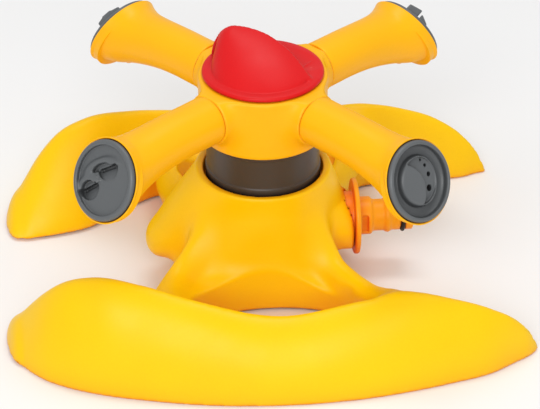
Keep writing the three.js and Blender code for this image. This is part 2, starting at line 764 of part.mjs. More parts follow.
const base = new THREE.Group();
base.add(
  node("base_shell", baseShell(), BASE_YELLOW),
  node("bearing_collar", bearingCollar(), COLLAR_BROWN),
  node("water_elbow", waterElbow(), INNER_GREY),
  node("spindle", spindle(), INNER_WHITE),
  node("rotor_retainer", rotorRetainer(), STEEL),
  node("thrust_washer", thrustWasher(), INNER_WHITE),
  node("hose_inlet", hoseInlet(), INLET_ORANGE),
  node("inlet_o_ring", inletSeal(), RUBBER),
  node("elbow_seal", elbowSeal(), RUBBER),
  node("inlet_filter", inletFilter(), STEEL),
);
collarScrewPlaces().forEach((place, index) => {
  base.add(node(`collar_screw_${index + 1}`, collarScrew(place), STEEL));
});

const rotor = new THREE.Group();
rotor.add(node("rotor_hub", rotorHub(), ROTOR_YELLOW));
for (const { name, turn } of ARMS) {
  rotor.add(
    node(`arm_${name}`, arm(turn), ROTOR_YELLOW),
    node(`nozzle_seal_${name}`, turnedTo(atNozzle(nozzleSeal()), turn), RUBBER),
    node(`nozzle_cap_${name}`, turnedTo(atNozzle(CAPS[name]()), turn), NOZZLE_GREY),
  );
}
rotor.add(node("stem_o_ring", stemSeal(), RUBBER), node("spindle_seal", spindleSeal(), RUBBER));

const selector = new THREE.Group();
selector.add(
  node("selector_knob", selectorKnob(), KNOB_RED),
  node("selector_stem", selectorStem(), INNER_WHITE),
  node("selector_valve", selectorValve(), INNER_GREY),
);

const sprinkler = new THREE.Group();
sprinkler.add(base, rotor, selector);

export default sprinkler;
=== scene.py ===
import json
import math

import bpy
import numpy as np
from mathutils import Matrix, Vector


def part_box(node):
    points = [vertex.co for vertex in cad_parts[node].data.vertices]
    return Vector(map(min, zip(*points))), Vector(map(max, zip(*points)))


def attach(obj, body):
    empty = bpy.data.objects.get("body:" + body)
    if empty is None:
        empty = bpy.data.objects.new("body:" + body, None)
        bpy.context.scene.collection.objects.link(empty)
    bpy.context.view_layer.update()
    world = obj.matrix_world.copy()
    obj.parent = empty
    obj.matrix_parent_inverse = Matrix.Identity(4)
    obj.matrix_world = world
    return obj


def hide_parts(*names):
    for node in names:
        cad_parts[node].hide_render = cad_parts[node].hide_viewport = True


# The looks of a rotary garden sprinkler. Shapes are worked out in millimetres, in the CAD's frame,
# and turned into metres in add_mesh. Curved pieces are skins of distance fields: a field is
# negative inside the piece, zero on its skin and about the distance in millimetres outside it.

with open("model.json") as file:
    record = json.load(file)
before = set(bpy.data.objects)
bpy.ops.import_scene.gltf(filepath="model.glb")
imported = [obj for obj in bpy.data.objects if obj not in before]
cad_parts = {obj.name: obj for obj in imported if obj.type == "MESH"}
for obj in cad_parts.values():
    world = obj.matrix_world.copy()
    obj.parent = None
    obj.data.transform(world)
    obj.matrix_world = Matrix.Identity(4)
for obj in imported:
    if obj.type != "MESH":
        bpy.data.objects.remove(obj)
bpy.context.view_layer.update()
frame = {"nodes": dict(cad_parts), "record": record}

MM = 0.001


def span(node):
    """The lowest and highest corner of a CAD node, in millimetres."""
    low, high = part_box(node)
    return np.array(low) / MM, np.array(high) / MM


# ---- Sizes, from the frame ----

COLLAR_LOW, COLLAR_HIGH = span("bearing_collar")
KNOB_LOW, KNOB_HIGH = span("selector_knob")
SHELL_LOW, SHELL_HIGH = span("base_shell")
INLET_LOW, INLET_HIGH = span("hose_inlet")
ELBOW_LOW, ELBOW_HIGH = span("water_elbow")
ORING_LOW, ORING_HIGH = span("inlet_o_ring")

COLLAR_RADIUS = COLLAR_HIGH[0]
COLLAR_TOP = COLLAR_HIGH[2]
HUB_BOTTOM = span("rotor_hub")[0][2]
KNOB_RADIUS = KNOB_HIGH[0]
KNOB_FOOT = KNOB_LOW[2]
HUB_TOP = KNOB_FOOT - 0.3
HUB_RADIUS = 30.8
RIM_Z = 60.0
POCKET_RADIUS = 29.0
DECK_TOP = COLLAR_LOW[2] - 0.3
DECK_THICKNESS = 3.0
WALL = 2.6
INLET_Z = (INLET_LOW[2] + INLET_HIGH[2]) / 2
INLET_BORE = 4.8
FLANGE_X = 44.0
FLANGE_RADIUS = (INLET_HIGH[2] - INLET_LOW[2]) / 2
NIPPLE_END = INLET_HIGH[0]
SPINDLE_CLEARANCE = 8.3

ARM_TURNS = {"back_right": 39.7, "back_left": 129.7, "front_left": 219.7, "front_right": 309.7}
ARM_RADIUS = 11.8
ARM_Z = 99.8
SOCKET_END = 35.7
NOZZLE_REACH = 100.6
NOZZLE_Z = 95.0
NOZZLE_TILT = math.radians(25)
CUP_RADIUS = 20.0
CAP_RADIUS = 18.75
CAP_THICKNESS = 5.0
SPIGOT_RADIUS = 9.0
SPIGOT_LENGTH = 8.0

# ---- Fields ----


def union(a, b, blend):
    """The two pieces together, with a fillet about as wide as blend."""
    share = np.clip(0.5 + 0.5 * (b - a) / blend, 0, 1)
    return b + (a - b) * share - blend * share * (1 - share)


def common(a, b, blend):
    """What the two pieces share, with its edge rounded."""
    return -union(-a, -b, blend)


def without(a, b, blend):
    """The first piece with the second cut out of it, and the cut's edge rounded."""
    return common(a, -b, blend)


def oval(across, along, half_across, half_along):
    """Distance to an ellipse across two axes."""
    u, v = across / half_across, along / half_along
    ratio = np.sqrt(u * u + v * v) + 1e-6
    slope = np.sqrt((u / half_across) ** 2 + (v / half_along) ** 2) / ratio + 1e-6
    return (ratio - 1) / slope


def rod(across, along, radius):
    """Distance to an endless round rod."""
    return np.hypot(across, along) - radius


def slab(value, low, high):
    """Distance to what lies between two parallel planes."""
    return np.maximum(low - value, value - high)


def leaning(u, v, degrees):
    """The same place in axes turned by degrees."""
    c, s = math.cos(math.radians(degrees)), math.sin(math.radians(degrees))
    return u * c + v * s, v * c - u * s


def true_distance(field, x, y, z, reach=1.0):
    """A field divided by its slope, which gives an even wall where the field isn't quite a distance."""
    steps = (
        field(x + reach, y, z) - field(x - reach, y, z),
        field(x, y + reach, z) - field(x, y - reach, z),
        field(x, y, z + reach) - field(x, y, z - reach),
    )
    slope = np.sqrt(sum(step**2 for step in steps)) / (2 * reach)
    return field(x, y, z) / np.maximum(slope, 0.3)


def curve_through(stations):
    """A smooth curve through rows of [place, value, value...], as a function of the place."""
    rows = np.array(stations, float)
    places, values = rows[:, 0], rows[:, 1:]
    slopes = np.gradient(values, places, axis=0)

    def at(place):
        near = np.clip(np.searchsorted(places, place) - 1, 0, len(places) - 2)
        step = places[near + 1] - places[near]
        t = np.clip((place - places[near]) / step, 0, 1)
        results = []
        for column in range(values.shape[1]):
            a, b = values[near, column], values[near + 1, column]
            p, q = slopes[near, column] * step, slopes[near + 1, column] * step
            bend = (2 * a - 2 * b + p + q) * t + (3 * b - 3 * a - 2 * p - q)
            results.append((bend * t + p) * t + a)
        return results

    return at


# ---- From a field to a mesh ----


def net(field, axes):
    """Corners and four-sided faces of the skin where field is zero, on the grid of the axes."""
    grid = np.meshgrid(*axes, indexing="ij")
    values = field(*grid)
    cells = np.array(values.shape) - 1
    total = np.zeros((3, *cells))
    count = np.zeros(cells)
    edges = []
    for axis in range(3):
        near = [slice(None)] * 3
        far = [slice(None)] * 3
        near[axis], far[axis] = slice(None, -1), slice(1, None)
        near, far = tuple(near), tuple(far)
        crossed = (values[near] < 0) != (values[far] < 0)
        share = np.where(crossed, values[near] / np.where(crossed, values[near] - values[far], 1), 0)
        place = [g[near] for g in grid]
        place[axis] = place[axis] + share * (grid[axis][far] - grid[axis][near])
        u, v = (axis + 1) % 3, (axis + 2) % 3
        for along_u in (0, 1):
            for along_v in (0, 1):
                part = [slice(None)] * 3
                part[u] = slice(along_u, along_u + cells[u])
                part[v] = slice(along_v, along_v + cells[v])
                part = tuple(part)
                count += crossed[part]
                for k in range(3):
                    total[k] += crossed[part] * place[k][part]
        edges.append((crossed, values[near] < 0))
    active = count > 0
    number = np.full(active.shape, -1)
    number[active] = np.arange(active.sum())
    points = np.stack([total[k][active] / count[active] for k in range(3)], 1)
    faces = []
    for axis, (crossed, starts_inside) in enumerate(edges):
        u, v = (axis + 1) % 3, (axis + 2) % 3
        inner = [slice(None)] * 3
        inner[u] = inner[v] = slice(1, -1)
        where = np.argwhere(crossed[tuple(inner)])
        where[:, [u, v]] += 1
        back_u, back_v = np.eye(3, dtype=int)[u], np.eye(3, dtype=int)[v]
        around = [where - back_u - back_v, where - back_v, where, where - back_u]
        quads = np.stack([number[tuple(cell.T)] for cell in around], 1)
        turned = ~starts_inside[tuple(where.T)]
        quads[turned] = quads[turned][:, ::-1]
        faces.append(quads)
    return points, np.concatenate(faces)


def slope_at(field, points, reach=0.05):
    """The field's slope at each point."""
    steps = np.eye(3) * reach
    return np.stack([field(*(points + s).T) - field(*(points - s).T) for s in steps], 1) / (2 * reach)


def settle(points, field, limit):
    """Points moved on to the field's skin, none further than limit from its place in the net."""
    start = points
    for _ in range(3):
        slope = slope_at(field, points)
        move = field(*points.T) / np.maximum((slope**2).sum(1), 0.2)
        way = points - slope * np.clip(move, -limit, limit)[:, None] - start
        length = np.linalg.norm(way, axis=1, keepdims=True)
        points = start + way * np.minimum(1, limit / np.maximum(length, 1e-9))
    return points


def spaced(low, high, step):
    """Places from a little below low to a little above high."""
    count = math.ceil((high - low) / step) + 4
    middle = (low + high) / 2
    return middle + (np.arange(count) - (count - 1) / 2) * step


def skin(field, low, high, step, axes=None):
    """A field's mesh, on an even grid from low to high unless its axes are given."""
    axes = axes or [spaced(low[k], high[k], step) for k in range(3)]
    points, faces = net(field, axes)
    return settle(points, field, step / 2), faces


def ring_faces(count, sides, closed):
    """Four-sided faces between rings of points, where closed also joins the last to the first."""
    starts = np.arange(count if closed else count - 1)
    rows, columns = np.meshgrid(starts, np.arange(sides), indexing="ij")
    below, beside = (rows + 1) % count, (columns + 1) % sides
    corners = [
        rows * sides + columns,
        rows * sides + beside,
        below * sides + beside,
        below * sides + columns,
    ]
    return np.stack(corners, 2).reshape(-1, 4)


def lathe(profile, sides):
    """A body of revolution about Z through [radius, z] points that close on themselves."""
    rings = np.array(profile, float)
    angles = np.arange(sides) * 2 * math.pi / sides
    points = np.stack(
        [
            np.outer(rings[:, 0], np.cos(angles)),
            np.outer(rings[:, 0], np.sin(angles)),
            np.outer(rings[:, 1], np.ones(sides)),
        ],
        2,
    ).reshape(-1, 3)
    return points, ring_faces(len(rings), sides, closed=True)


def rounded(corners, radius=0.5, steps=3):
    """A closed outline with each of its corners made round."""
    outline = []
    corners = [np.array(c, float) for c in corners]
    for index, corner in enumerate(corners):
        before, after = corners[index - 1], corners[(index + 1) % len(corners)]
        ways = [(other - corner) / np.linalg.norm(other - corner) for other in (before, after)]
        cut = min(radius, 0.4 * min(np.linalg.norm(other - corner) for other in (before, after)))
        start, end = corner + ways[0] * cut, corner + ways[1] * cut
        for step in range(steps + 1):
            t = step / steps
            outline.append((1 - t) ** 2 * start + 2 * t * (1 - t) * corner + t * t * end)
    return outline


def along_x(points, height):
    """Points made about +Z, turned so that +Z points along +X."""
    return np.stack([points[:, 2], points[:, 1], height - points[:, 0]], 1)


def turned(points, degrees):
    """Points turned about the upright axis."""
    c, s = math.cos(math.radians(degrees)), math.sin(math.radians(degrees))
    return points @ np.array([[c, s, 0], [-s, c, 0], [0, 0, 1]])


def add_mesh(name, shape, material, body, nodes, sharp=None):
    """A named piece that rides on a body and stands for CAD nodes."""
    points, faces = shape
    mesh = bpy.data.meshes.new(name)
    mesh.from_pydata((points * MM).tolist(), [], faces.tolist())
    mesh.validate()
    mesh.materials.append(material)
    mesh.shade_smooth()
    if sharp:
        mesh.set_sharp_from_angle(angle=math.radians(sharp))
    piece = bpy.data.objects.new(name, mesh)
    bpy.context.scene.collection.objects.link(piece)
    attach(piece, body)
    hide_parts(*nodes)
    return piece


# ---- Materials ----


def colour(code):
    """A colour written as six hex digits, as linear red, green, blue and alpha."""
    channels = [int(code[k : k + 2], 16) / 255 for k in (0, 2, 4)]
    linear = [c / 12.92 if c <= 0.04045 else ((c + 0.055) / 1.055) ** 2.4 for c in channels]
    return (*linear, 1.0)


class Nodes:
    """A material's nodes, made and linked one by one."""

    def __init__(self, name):
        self.material = bpy.data.materials.new(name)
        self.material.use_nodes = True
        self.tree = self.material.node_tree
        self.shader = self.tree.nodes["Principled BSDF"]
        self.place = self.add("ShaderNodeNewGeometry").outputs["Position"]

    def add(self, kind, **settings):
        node = self.tree.nodes.new(kind)
        for key, value in settings.items():
            setattr(node, key, value)
        return node

    def link(self, source, socket):
        self.tree.links.new(source, socket)

    def noise(self, scale, detail=3.0, roughness=0.5):
        """Noise in the object's own frame, with scale in bumps per metre."""
        place = self.add("ShaderNodeTexCoord").outputs["Object"]
        node = self.add("ShaderNodeTexNoise")
        node.inputs["Scale"].default_value = scale
        node.inputs["Detail"].default_value = detail
        node.inputs["Roughness"].default_value = roughness
        self.link(place, node.inputs["Vector"])
        return node.outputs["Fac"]

    def ramp(self, value, stops):
        node = self.add("ShaderNodeValToRGB")
        elements = node.color_ramp.elements
        while len(elements) < len(stops):
            elements.new(0.5)
        for element, (position, shade) in zip(elements, stops):
            element.position = position
            element.color = shade
        self.link(value, node.inputs["Fac"])
        return node.outputs["Color"]

    def mix(self, share, first, second):
        node = self.add("ShaderNodeMix", data_type="RGBA")
        sockets = (node.inputs[0], node.inputs[6], node.inputs[7])
        for value, socket in zip((share, first, second), sockets):
            if isinstance(value, (tuple, float)):
                socket.default_value = value
            else:
                self.link(value, socket)
        return node.outputs[2]

    def spread(self, value, low, high, from_low=0.3, from_high=0.7):
        node = self.add("ShaderNodeMapRange")
        for name, number in (
            ("From Min", from_low),
            ("From Max", from_high),
            ("To Min", low),
            ("To Max", high),
        ):
            node.inputs[name].default_value = number
        self.link(value, node.inputs["Value"])
        return node.outputs["Result"]

    def bump(self, heights):
        """Bumps one over the other, from (value, height in metres) pairs."""
        normal = None
        for value, height in heights:
            node = self.add("ShaderNodeBump")
            node.inputs["Strength"].default_value = 1.0
            node.inputs["Distance"].default_value = height
            self.link(value, node.inputs["Height"])
            if normal is not None:
                self.link(normal, node.inputs["Normal"])
            normal = node.outputs["Normal"]
        self.link(normal, self.shader.inputs["Normal"])


def shade(rgba, factor):
    """A colour made darker or lighter by a factor."""
    return tuple(min(1.0, c * factor) for c in rgba[:3]) + (1.0,)


PAINTED_SHADE_REACH = 0.03  # how near other skin has to be, in metres, for painted shade to deepen a plastic's colour
FINE_CLOUD_SHARE = 0.35
SCUFF_STRENGTH = 0.35
SINK_MARK_DEPTH = 0.00012


def plastic(name, code, painted_shade_code, worn, rough=(0.34, 0.46), grain=0.000012, gloss=0.22):
    """Moulded plastic: cloudy colour, painted shade that deepens it in hollows, fine grain,
    faint sink marks and paler scuffs on its edges."""
    nodes = Nodes(name)
    base = colour(code)
    cloud = nodes.ramp(nodes.noise(22.0, 2.0), [(0.3, shade(base, 0.95)), (0.7, shade(base, 1.04))])
    fine = nodes.ramp(nodes.noise(900.0, 2.0), [(0.35, shade(base, 0.96)), (0.65, shade(base, 1.03))])
    # Painted shade: an occlusion probe turns the colour towards its painted shade colour wherever other
    # skin is near.
    hollow = nodes.add("ShaderNodeAmbientOcclusion", samples=8)
    hollow.inputs["Distance"].default_value = PAINTED_SHADE_REACH
    unshaded_share = nodes.spread(hollow.outputs["AO"], 0.0, 1.0, 0.2, 0.8)
    body = nodes.mix(unshaded_share, colour(painted_shade_code), nodes.mix(FINE_CLOUD_SHARE, cloud, fine))
    edge = nodes.spread(nodes.add("ShaderNodeNewGeometry").outputs["Pointiness"], 0.0, 1.0, 0.53, 0.62)
    scuff = nodes.spread(nodes.noise(260.0, 5.0, 0.7), 0.0, 1.0, 0.5, 0.66)
    both = nodes.add("ShaderNodeMath", operation="MULTIPLY")
    nodes.link(edge, both.inputs[0])
    nodes.link(scuff, both.inputs[1])
    part = nodes.add("ShaderNodeMath", operation="MULTIPLY")
    nodes.link(both.outputs[0], part.inputs[0])
    part.inputs[1].default_value = SCUFF_STRENGTH
    nodes.link(nodes.mix(part.outputs[0], body, colour(worn)), nodes.shader.inputs["Base Color"])
    nodes.link(nodes.spread(nodes.noise(60.0, 4.0, 0.6), *rough), nodes.shader.inputs["Roughness"])
    nodes.bump([(nodes.noise(30.0, 1.0), SINK_MARK_DEPTH), (nodes.noise(2400.0, 2.0), grain)])
    nodes.shader.inputs["Specular IOR Level"].default_value = gloss
    return nodes.material


def rubber(name):
    """Black rubber with a matt, finely pitted skin."""
    nodes = Nodes(name)
    stops = [(0.35, colour("0d0c0c")), (0.7, colour("1d1b1a"))]
    nodes.link(nodes.ramp(nodes.noise(400.0, 4.0), stops), nodes.shader.inputs["Base Color"])
    nodes.link(nodes.spread(nodes.noise(150.0), 0.5, 0.75), nodes.shader.inputs["Roughness"])
    nodes.bump([(nodes.noise(3000.0, 2.0), 0.00002)])
    return nodes.material


def steel(name):
    """Stainless steel, brushed along one way, with faint stains."""
    nodes = Nodes(name)
    stops = [(0.3, colour("9d9fa2")), (0.7, colour("c9cbce"))]
    nodes.link(nodes.ramp(nodes.noise(90.0, 5.0), stops), nodes.shader.inputs["Base Color"])
    nodes.link(nodes.spread(nodes.noise(500.0, 4.0), 0.22, 0.4), nodes.shader.inputs["Roughness"])
    nodes.bump([(nodes.noise(1800.0, 3.0), 0.00001)])
    nodes.shader.inputs["Metallic"].default_value = 1.0
    return nodes.material


def make_materials():
    return {
        # The second colour given to each plastic is its painted shade colour, used in hollows.
        "base_yellow": plastic("base_yellow_plastic", "ffca00", "f89e12", "ffe08a"),
        "rotor_yellow": plastic("rotor_yellow_plastic", "fdb806", "f0900f", "ffdc86"),
        "inlet_orange": plastic("inlet_orange_plastic", "fba414", "ee6e1c", "ffc673"),
        "knob_red": plastic("knob_red_plastic", "d81216", "a80c12", "f07a70", (0.36, 0.48)),
        "nozzle_grey": plastic("nozzle_grey_plastic", "5c5f61", "2c2d2e", "8d8f90", (0.36, 0.48),
                               grain=0.00002, gloss=0.5),
        "collar_brown": plastic("collar_brown_plastic", "42382f", "1c1612", "6d6259", gloss=0.4),
        "inner_grey": plastic("inner_grey_plastic", "8a8c8e", "5c5d5e", "b5b7b8", (0.45, 0.6)),
        "inner_white": plastic("inner_white_acetal", "e8e6df", "cfc9b8", "f6f5f1", (0.35, 0.5)),
        "black_rubber": rubber("black_rubber_seal"),
        "steel": steel("stainless_steel"),
    }


# ---- Base shell ----

# Each wing: x, then how far from the middle plane its inner edge, outer edge and ridge lie,
# and the height of its ridge.
WING = curve_through(
    [
        [-127, 43, 58, 50, 2],
        [-125, 37, 66, 53, 8],
        [-118, 33, 76, 57, 18.5],
        [-110, 34, 85, 62, 30.5],
        [-100, 36, 92, 67, 41],
        [-85, 41, 99, 72, 47.3],
        [-62, 60, 106, 79, 46.5],
        [-40, 73, 111, 85.5, 42],
        [0, 75, 115, 91, 34],
        [40, 73, 113, 88, 38.5],
        [62, 70, 109, 86, 40.5],
        [80, 71, 104.5, 87, 36.5],
        [100, 73, 98, 86.5, 28.6],
        [112, 75, 90.5, 84, 20],
        [119, 78, 86, 82, 11.5],
        [124, 79, 81, 80, 1.5],
    ]
)
WING_FULLNESS = 1.45  # 1 is a ridge with flat sides, 2 is an ellipse
WING_LEAN = 0.17  # how much fuller the outer side is than that, and the inner side less full
WING_LEAN_REACH = 8.0
RIDGE_SOFTNESS = 0.004

# The tower: z, its half widths along X and Y, how far its middle lies along X, and how square
# its outline is, where 2 is an ellipse. It flares at the foot of its front and back.
TOWER = curve_through(
    [
        [0, 34.5, 52, -4, 3.0],
        [12, 34.5, 46, -4, 3.0],
        [20, 34.5, 39.2, -4, 3.0],
        [26, 34.5, 36.9, -3.5, 2.9],
        [32, 34.3, 35.4, -3, 2.7],
        [44, 33, 33.3, -1.2, 2.2],
        [52, 31.8, 32, 0, 2.05],
        [60, 31, 31, 0, 2.0],
    ]
)

# The same for the hood, a round boss across the tower that swells towards -X and +X.
HOOD = curve_through(
    [
        [8, 41, 18, -6, 2.6],
        [13, 47.5, 18.5, -6.2, 2.6],
        [18, 51, 19, -6.2, 2.6],
        [24, 51.2, 19.5, -6, 2.6],
        [32, 47.3, 20.5, -5, 2.5],
        [44, 41.5, 23.5, -3, 2.3],
        [52, 37, 27, -1.5, 2.1],
        [60, 31, 30, 0, 2.0],
    ]
)
HOOD_AXIS = 29.0
HOOD_BELLY = 16.0
HOOD_END = FLANGE_X - 0.6
HOOD_DRAW = 0.7  # its +X side is drawn out by one over this, to end square at the inlet's plate
HOOD_DRAW_TOP = 28.0  # which fades out over the height HOOD_DRAW_FADE above this
HOOD_DRAW_FADE = 14.0

# The legs between the wings: distance from the middle plane, left and right edge, and height
# in the middle. They lean down towards +X.
LEGS = curve_through(
    [
        [0, -42, 29.5, 12],
        [16, -42.5, 30, 12],
        [26, -45, 31.5, 13],
        [34, -48.5, 36, 14],
        [42, -51.5, 41.5, 15],
        [54, -54, 48, 15.5],
        [66, -52, 54, 17],
        [80, -48, 60, 22],
    ]
)
LEGS_LEAN = 0.11
LEGS_END = 84.0
REAR_INSET = 7.0  # the left leg at the back stands this much further in
REAR_INSET_FADE = 25.0

# The round crests that run down the tower and along the outside of each leg:
# distance from the middle plane, x, height and radius.
CREST_RIGHT = curve_through(
    [
        [0, 8, 42, 8],
        [18, 14, 38, 9],
        [26, 22, 28, 9],
        [33, 29.5, 19.5, 8],
        [40, 35.5, 17, 7.5],
        [48, 41, 17, 7],
        [56, 46, 18, 7],
        [64, 50, 21, 7.5],
        [78, 54, 28, 8],
        [92, 54, 28, 8],
    ]
)
CREST_LEFT = curve_through(
    [
        [0, -12, 40, 8],
        [18, -22, 36, 9],
        [26, -31, 28, 9],
        [33, -39.5, 22, 8],
        [40, -44.5, 19, 7.5],
        [48, -48, 18.5, 7.5],
        [60, -49, 20, 7.5],
        [80, -48, 27, 8],
        [92, -48, 27, 8],
    ]
)
LEG_FILLET, HOOD_FILLET, WING_FILLET = 13.0, 7.0, 8.0
FOOT_GAP = 1.2  # the middle of the sled stands this far off the ground
FOOT_START, FOOT_FADE = 76.0, 8.0  # and comes down to it this far out, on the wings
CORE_LOW, CORE_HIGH = -112.0, 106.0  # the wings' tips are solid beyond these
HOLE_MIDDLE = 57.0
HOLE_ACROSS = 39.0
HOLE_ALONG = 19.0
SLEEVE_OPENING, SLEEVE_START = 13.0, 25.0


def wing_field(x, y, z):
    """Both wings: a section with a soft ridge, which widens and rises along X."""
    inner, outer, ridge, height = WING(x)
    side = np.abs(y) - ridge
    reach = np.where(side < 0, ridge - inner, outer - ridge)
    u = np.sqrt((side / reach) ** 2 + RIDGE_SOFTNESS)
    v = np.sqrt((z / height) ** 2 + 1e-4)
    power = WING_FULLNESS + WING_LEAN * np.tanh(side / WING_LEAN_REACH)
    ratio = (u**power + v**power) ** (1 / power)
    slope = np.hypot((u / ratio) ** (power - 1) / reach, (v / ratio) ** (power - 1) / height)
    return common((ratio - 1) / slope, slab(x, SHELL_LOW[0], SHELL_HIGH[0]), 2.0)


def oval_field(x, y, z, stations):
    """An upright body whose outline at each height is an ellipse or a squarer oval."""
    across, along, middle, power = stations(z)
    u = np.sqrt(((x - middle) / across) ** 2 + 1e-4)
    v = np.sqrt((y / along) ** 2 + 1e-4)
    ratio = (u**power + v**power) ** (1 / power)
    slope = np.hypot((u / ratio) ** (power - 1) / across, (v / ratio) ** (power - 1) / along)
    return (ratio - 1) / slope


def hood_field(x, y, z):
    """The hood, with a round belly, and cut off square at +X for the inlet's plate."""
    along = HOOD(z)[1]
    belly = HOOD_BELLY * (np.hypot(y / along, np.minimum(z - HOOD_AXIS, 0) / HOOD_BELLY) - 1)
    fade = np.clip((z - HOOD_DRAW_TOP) / HOOD_DRAW_FADE, 0, 1)
    squeeze = HOOD_DRAW + (1 - HOOD_DRAW) * fade
    boss = oval_field(np.where(x > 0, x * squeeze, x), y, z, HOOD)
    return common(common(boss, belly, 3.0), x - HOOD_END, 1.5)


def legs_field(x, y, z):
    """The four legs that join the tower to the wings, with a round crest along each."""
    reach = np.abs(y)
    left, right, height = LEGS(reach)
    inset = REAR_INSET * np.clip(y / REAR_INSET_FADE, 0, 1)
    sides = common(x - right, left + inset - x, 1.0)
    block = common(sides, z - height + LEGS_LEAN * x, 7.0)
    for crest, shift in ((CREST_LEFT, inset), (CREST_RIGHT, 0)):
        middle, level, radius = crest(reach)
        block = union(block, rod(x - middle - shift, z - level, radius), 7.0)
    return common(block, reach - LEGS_END, 4.0)


def base_outside(x, y, z):
    """The whole sled as if it were solid, with fillets between tower, legs, hood and wings."""
    body = union(oval_field(x, y, z, TOWER), legs_field(x, y, z), LEG_FILLET)
    body = union(body, hood_field(x, y, z), HOOD_FILLET)
    return union(body, wing_field(x, y, z), WING_FILLET)


def base_field(x, y, z):
    """The sled as a thin shell, open below, with its two holes, the collar's pocket and the
    openings for the spindle and the hose inlet."""
    post = oval(x, np.abs(y) - HOLE_MIDDLE, HOLE_ACROSS, HOLE_ALONG)
    whole = true_distance(base_outside, x, y, z)
    outside = without(whole, post, 1.0)
    foot = FOOT_GAP * np.clip((FOOT_START - np.abs(y)) / FOOT_FADE, 0, 1)
    outside = common(outside, np.maximum(z - RIM_Z, foot - z), 1.2)
    hollow = common(whole + WALL, WALL - post, 1.5)
    hollow = common(hollow, z - (DECK_TOP - DECK_THICKNESS), 2.0)
    hollow = common(hollow, slab(x, CORE_LOW, CORE_HIGH), 2.0)
    shell = without(outside, hollow, 1.0)
    pocket = common(rod(x, y, POCKET_RADIUS), DECK_TOP - z, 0.5)
    shell = without(shell, pocket, 0.8)
    shell = without(shell, rod(x, y, SPINDLE_CLEARANCE), 0.4)
    sleeve = np.maximum(rod(y, z - INLET_Z, SLEEVE_OPENING), SLEEVE_START - x)
    plate = np.maximum(rod(y, z - INLET_Z, FLANGE_RADIUS + 1), FLANGE_X - 0.3 - x)
    return without(shell, union(sleeve, plate, 0.5), 0.6)


TOWER_REACH = 36
FINE_STEP, COARSE_STEP = 1.05, 1.5


def graded(low, high):
    """Places from low to high, closer together across the tower."""
    middle = spaced(-TOWER_REACH, TOWER_REACH, FINE_STEP)
    before = np.arange(middle[0] - COARSE_STEP, low, -COARSE_STEP)[::-1]
    after = np.arange(middle[-1] + COARSE_STEP, high, COARSE_STEP)
    return np.concatenate([before, middle, after])


def base_shell(material):
    """The yellow sled, on a grid that is finest at the tower's thin rim."""
    body_heights = np.arange(-2, 48, 1.35)
    rim_heights = np.arange(48.2, 62.5, 0.9)
    axes = [graded(-130, 127), graded(-119, 119), np.concatenate([body_heights, rim_heights])]
    points, faces = skin(base_field, None, None, COARSE_STEP, axes)
    points[:, 2] = np.maximum(points[:, 2], 0)
    return add_mesh("base_shell_skin", (points, faces), material, "root", ["base_shell"])


# ---- Collar, elbow and inlet ----


def bearing_collar(material):
    """The cup under the rotor, with a bead at its foot and a fine step under its rim."""
    foot, top, radius = COLLAR_LOW[2], COLLAR_TOP, COLLAR_RADIUS
    bore, boss, wall = 8.4, 12.3, 2.5
    profile = rounded(
        [
            [bore, foot],
            [radius, foot],
            [radius, foot + 9],
            [radius - 0.5, foot + 9.6],
            [radius - 0.5, top - 2.2],
            [radius - 0.1, top - 1.8],
            [radius - 0.1, top],
            [radius - wall, top],
            [radius - wall, foot + 6],
            [boss, foot + 6],
            [boss, top - 2],
            [bore, top - 2],
        ],
        0.4,
    )
    return add_mesh("bearing_collar_skin", lathe(profile, 160), material, "root", ["bearing_collar"])


ELBOW_PIPE = 10.0
ELBOW_WATER = 5.5
ELBOW_SEAT_Z = 34
ELBOW_SOCKET = 7.4
ELBOW_SOCKET_DEPTH = 8


def elbow_field(x, y, z):
    """An upright and a level pipe that meet, with a web between them."""
    upright = common(rod(x, y, ELBOW_HIGH[1]), slab(z, ELBOW_LOW[2], ELBOW_HIGH[2]), 0.8)
    level = common(rod(y, z - INLET_Z, ELBOW_PIPE), slab(x, 0.0, ELBOW_HIGH[0]), 0.8)
    body = union(upright, level, 3.0)
    web = common(np.abs(y) - 1.2, slab(z, ELBOW_LOW[2] + 0.5, INLET_Z), 0.4)
    web = common(web, slab(x, 0.0, ELBOW_HIGH[0] - 2), 0.4)
    body = union(body, web, 1.0)
    seat = np.maximum(rod(x, y, SPINDLE_CLEARANCE), ELBOW_SEAT_Z - z)
    water = np.maximum(rod(x, y, ELBOW_WATER), INLET_Z - z)
    inlet = np.maximum(rod(y, z - INLET_Z, ELBOW_WATER), -x)
    socket_start = ELBOW_HIGH[0] - ELBOW_SOCKET_DEPTH
    socket = np.maximum(rod(y, z - INLET_Z, ELBOW_SOCKET), socket_start - x)
    return without(body, union(union(seat, water, 0.2), union(inlet, socket, 0.2), 0.2), 0.4)


def water_elbow(material):
    shape = skin(elbow_field, ELBOW_LOW, ELBOW_HIGH, 0.9)
    return add_mesh("water_elbow_skin", shape, material, "root", ["water_elbow"])


PLATE_THICKNESS = 2.5
STEP_RADIUS = 9.3
STEP_LENGTH = 9
NECK_RADIUS = 7.8
RIDGE_RADIUS = 8.8
RIDGE_X = FLANGE_X + 17
GROOVE_RADIUS = 6.3


